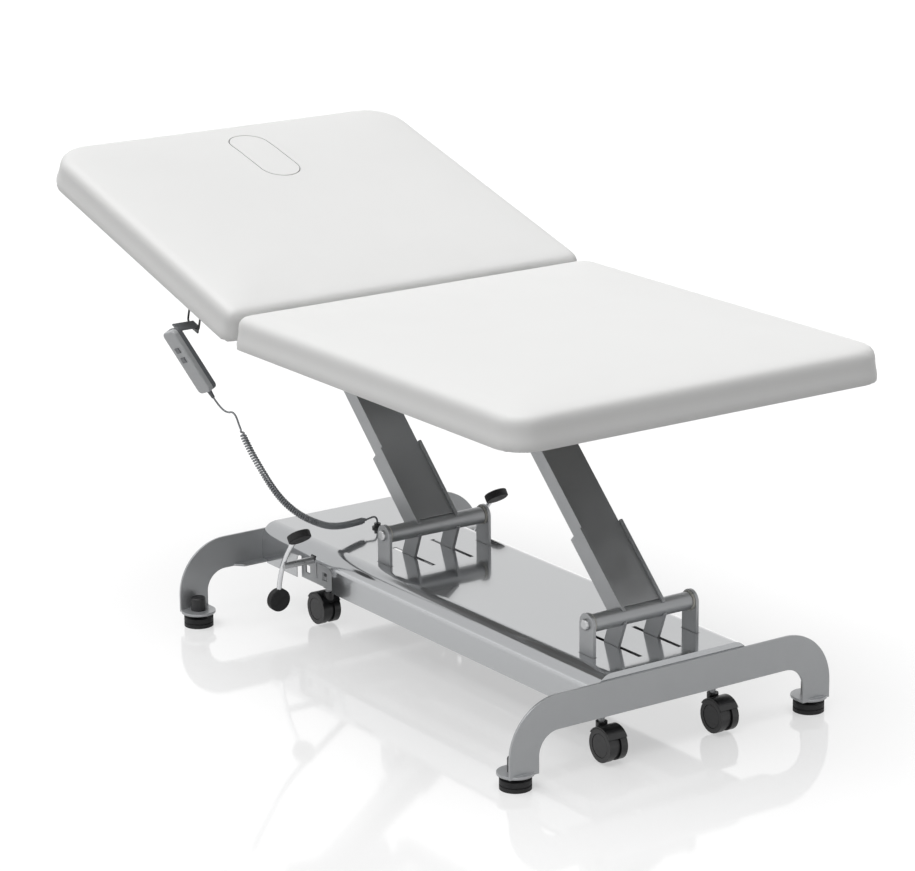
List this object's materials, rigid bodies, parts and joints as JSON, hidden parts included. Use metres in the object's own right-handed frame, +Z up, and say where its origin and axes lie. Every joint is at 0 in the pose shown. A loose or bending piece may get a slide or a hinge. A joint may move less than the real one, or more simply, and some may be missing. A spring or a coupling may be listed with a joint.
{
  "type": "therapy couch",
  "caption": "Height-adjustable therapy couch with raising backrest, face-slot plug, leaning lift arms on a covered base, pedal-lowered casters and a corded handset.",
  "frame": {"origin": "on the floor, in the middle of the couch's length and width, the cord left out", "axes": "+X to the foot end, +Y to the side away from the handset, +Z up"},
  "size_m": [1.9762, 1, 1.0945],
  "materials": {
    "upholstery": "satin white vinyl",
    "board": "raw plywood",
    "lacquer": "metallic grey lacquer",
    "cover_lacquer": "high-gloss metallic grey lacquer",
    "zinc": "zinc plated",
    "chrome": "polished chrome",
    "rubber": "matt black rubber",
    "caster_black": "black moulding",
    "black_plastic": "matt black moulding",
    "pale_nylon": "pale nylon",
    "grey_casting": "grey casting",
    "gas_black": "black paint",
    "handset_pale": "pale grey moulding",
    "handset_dark": "dark grey moulding",
    "cord_grey": "grey cable sheath"
  },
  "bodies": {
    "base": {"front_leg_plate": "lacquer", "rear_leg_plate": "lacquer", "base_rails": "lacquer", "base_cross_bars": "lacquer", "pivot_ears": "lacquer", "base_cover": "cover_lacquer", "pivot_bolts": "zinc", "pivot_rings": "pale_nylon", "foot_caps": "black_plastic", "actuator_body": "grey_casting", "actuator_motor": "black_plastic", "control_box": "black_plastic", "cord_gland": "black_plastic", "pedal_brackets": "lacquer", "handset_cord": "cord_grey"},
    "rear_arm": {"rear_arm": "lacquer", "rear_arm_plates": "lacquer"},
    "front_arm": {"front_arm": "lacquer", "front_arm_plates": "lacquer"},
    "tie_rod": {"tie_rod": "lacquer"},
    "actuator_rod": {"actuator_rod": "zinc"},
    "top": {"top_side_rails": "lacquer", "top_cross_tubes": "lacquer", "top_ears": "lacquer", "top_pivot_bolts": "zinc", "seat_board": "board", "seat_pad": "upholstery", "seat_hinge_plates": "lacquer", "gas_cylinder": "gas_black"},
    "backrest": {"backrest_board": "board", "backrest_pad": "upholstery", "backrest_frame": "lacquer", "handset_loop": "gas_black", "handset_front": "handset_pale", "handset_back": "handset_dark"},
    "plug": {"face_plug": "upholstery"},
    "gas_rod": {"gas_rod": "zinc"},
    "release_lever": {"release_lever": "black_plastic"},
    "pedal": {"pedal_shaft": "zinc", "pedal_rods": "chrome", "pedal_pads": "rubber"},
    "front_crank": {"front_crank_shaft": "zinc"},
    "link": {"link_bar": "lacquer"},
    "rear_beam": {"rear_caster_beam": "lacquer"},
    "front_beam": {"front_caster_beam": "lacquer"},
    "button_up": {"handset_button_up": "handset_dark"},
    "button_down": {"handset_button_down": "handset_dark"},
    "caster_front_near": {"caster_hood_front_near": "caster_black"},
    "wheels_front_near": {"caster_wheels_front_near": "caster_black"},
    "caster_front_far": {"caster_hood_front_far": "caster_black"},
    "wheels_front_far": {"caster_wheels_front_far": "caster_black"},
    "caster_rear_near": {"caster_hood_rear_near": "caster_black"},
    "wheels_rear_near": {"caster_wheels_rear_near": "caster_black"},
    "caster_rear_far": {"caster_hood_rear_far": "caster_black"},
    "wheels_rear_far": {"caster_wheels_rear_far": "caster_black"},
    "foot_front_near": {"levelling_foot_front_near": "rubber"},
    "foot_front_far": {"levelling_foot_front_far": "rubber"},
    "foot_rear_near": {"levelling_foot_rear_near": "rubber"},
    "foot_rear_far": {"levelling_foot_rear_far": "rubber"}
  },
  "joints": [
    {"name": "lift", "type": "hinge", "parent": "base", "child": "rear_arm", "pos_m": [-0.0352, 0, 0.2836], "axis": [0, 1, 0], "range_deg": [-38.5, 8.5], "deforming": ["handset_cord"]},
    {"name": "front_lift", "type": "hinge", "parent": "base", "child": "front_arm", "pos_m": [0.7527, 0, 0.2836], "axis": [0, 1, 0], "range_deg": [-38.5, 8.5]},
    {"name": "top_level", "type": "hinge", "parent": "rear_arm", "child": "top", "pos_m": [-0.49001, 0, 0.7152], "axis": [0, 1, 0], "range_deg": [-8.5, 38.5]},
    {"name": "tie_pivot", "type": "hinge", "parent": "rear_arm", "child": "tie_rod", "pos_m": [-0.08179, 0, 0.16223], "axis": [0, 1, 0], "range_deg": [-8.5, 38.5]},
    {"name": "actuator_stroke", "type": "slide", "parent": "base", "child": "actuator_rod", "axis": [1, 0, 0], "range_m": [-0.0195, 0.0865]},
    {"name": "backrest_tilt", "type": "hinge", "parent": "top", "child": "backrest", "pos_m": [-0.1119, 0, 0.824], "axis": [0, 1, 0], "range_deg": [-16.2, 43.8], "deforming": ["handset_cord"]},
    {"name": "plug_pull", "type": "slide", "parent": "backrest", "child": "plug", "axis": [0.279, 0, 0.9603], "range_m": [0, 0.09]},
    {"name": "gas_stroke", "type": "slide", "parent": "top", "child": "gas_rod", "axis": [1, 0, 0], "range_m": [-0.081, 0.0305]},
    {"name": "release_pull", "type": "hinge", "parent": "backrest", "child": "release_lever", "pos_m": [-0.89869, 0.392, 0.98333], "axis": [0.279, 0, 0.9603], "range_deg": [0, 18], "stiffness_Nm_per_rad": 2},
    {"name": "pedal_push", "type": "hinge", "parent": "base", "child": "pedal", "pos_m": [-0.25, 0, 0.18], "axis": [0, 1, 0], "range_deg": [0, 55]},
    {"name": "front_crank_turn", "type": "hinge", "parent": "base", "child": "front_crank", "pos_m": [0.838, 0, 0.18], "axis": [0, 1, 0], "range_deg": [0, 55]},
    {"name": "link_pivot", "type": "hinge", "parent": "pedal", "child": "link", "pos_m": [-0.23384, 0.066, 0.14896], "axis": [0, 1, 0], "range_deg": [-55, 0]},
    {"name": "rear_beam_drop", "type": "slide", "parent": "base", "child": "rear_beam", "axis": [0, 0, 1], "range_m": [-0.0161, 0]},
    {"name": "front_beam_drop", "type": "slide", "parent": "base", "child": "front_beam", "axis": [0, 0, 1], "range_m": [-0.0161, 0]},
    {"name": "swivel_front_near", "type": "hinge", "parent": "front_beam", "child": "caster_front_near", "pos_m": [0.819, -0.152, 0.09], "axis": [0, 0, 1], "continuous": true},
    {"name": "roll_front_near", "type": "hinge", "parent": "caster_front_near", "child": "wheels_front_near", "pos_m": [0.844, -0.152, 0.0415], "axis": [0, 1, 0], "continuous": true},
    {"name": "swivel_front_far", "type": "hinge", "parent": "front_beam", "child": "caster_front_far", "pos_m": [0.819, 0.152, 0.09], "axis": [0, 0, 1], "continuous": true},
    {"name": "roll_front_far", "type": "hinge", "parent": "caster_front_far", "child": "wheels_front_far", "pos_m": [0.844, 0.152, 0.0415], "axis": [0, 1, 0], "continuous": true},
    {"name": "swivel_rear_near", "type": "hinge", "parent": "rear_beam", "child": "caster_rear_near", "pos_m": [-0.267, -0.152, 0.09], "axis": [0, 0, 1], "continuous": true},
    {"name": "roll_rear_near", "type": "hinge", "parent": "caster_rear_near", "child": "wheels_rear_near", "pos_m": [-0.287, -0.152, 0.0415], "axis": [0, 1, 0], "continuous": true},
    {"name": "swivel_rear_far", "type": "hinge", "parent": "rear_beam", "child": "caster_rear_far", "pos_m": [-0.267, 0.152, 0.09], "axis": [0, 0, 1], "continuous": true},
    {"name": "roll_rear_far", "type": "hinge", "parent": "caster_rear_far", "child": "wheels_rear_far", "pos_m": [-0.287, 0.152, 0.0415], "axis": [0, 1, 0], "continuous": true},
    {"name": "foot_turn_front_near", "type": "hinge", "parent": "base", "child": "foot_front_near", "pos_m": [0.85, -0.401, 0.03], "axis": [0, 0, 1], "continuous": true},
    {"name": "foot_turn_front_far", "type": "hinge", "parent": "base", "child": "foot_front_far", "pos_m": [0.85, 0.401, 0.03], "axis": [0, 0, 1], "continuous": true},
    {"name": "foot_turn_rear_near", "type": "hinge", "parent": "base", "child": "foot_rear_near", "pos_m": [-0.457, -0.401, 0.03], "axis": [0, 0, 1], "continuous": true},
    {"name": "foot_turn_rear_far", "type": "hinge", "parent": "base", "child": "foot_rear_far", "pos_m": [-0.457, 0.401, 0.03], "axis": [0, 0, 1], "continuous": true},
    {"name": "press_up", "type": "slide", "parent": "backrest", "child": "button_up", "axis": [-0.1357, 0.914, 0.3823], "range_m": [0, 0.002], "stiffness_N_per_m": 600},
    {"name": "press_down", "type": "slide", "parent": "backrest", "child": "button_down", "axis": [-0.1357, 0.914, 0.3823], "range_m": [0, 0.002], "stiffness_N_per_m": 600}
  ],
  "couplings": [
    {"joint": "front_lift", "follows": "lift", "ratio": 1},
    {"joint": "top_level", "follows": "lift", "ratio": -1},
    {"joint": "tie_pivot", "follows": "lift", "ratio": -1},
    {"joint": "actuator_stroke", "follows": "lift", "m_per_rad": -0.1275},
    {"joint": "gas_stroke", "follows": "backrest_tilt", "m_per_rad": -0.105},
    {"joint": "front_crank_turn", "follows": "pedal_push", "ratio": 1},
    {"joint": "link_pivot", "follows": "pedal_push", "ratio": -1},
    {"joint": "rear_beam_drop", "follows": "pedal_push", "m_per_rad": -0.01665},
    {"joint": "front_beam_drop", "follows": "pedal_push", "m_per_rad": -0.01665}
  ]
}
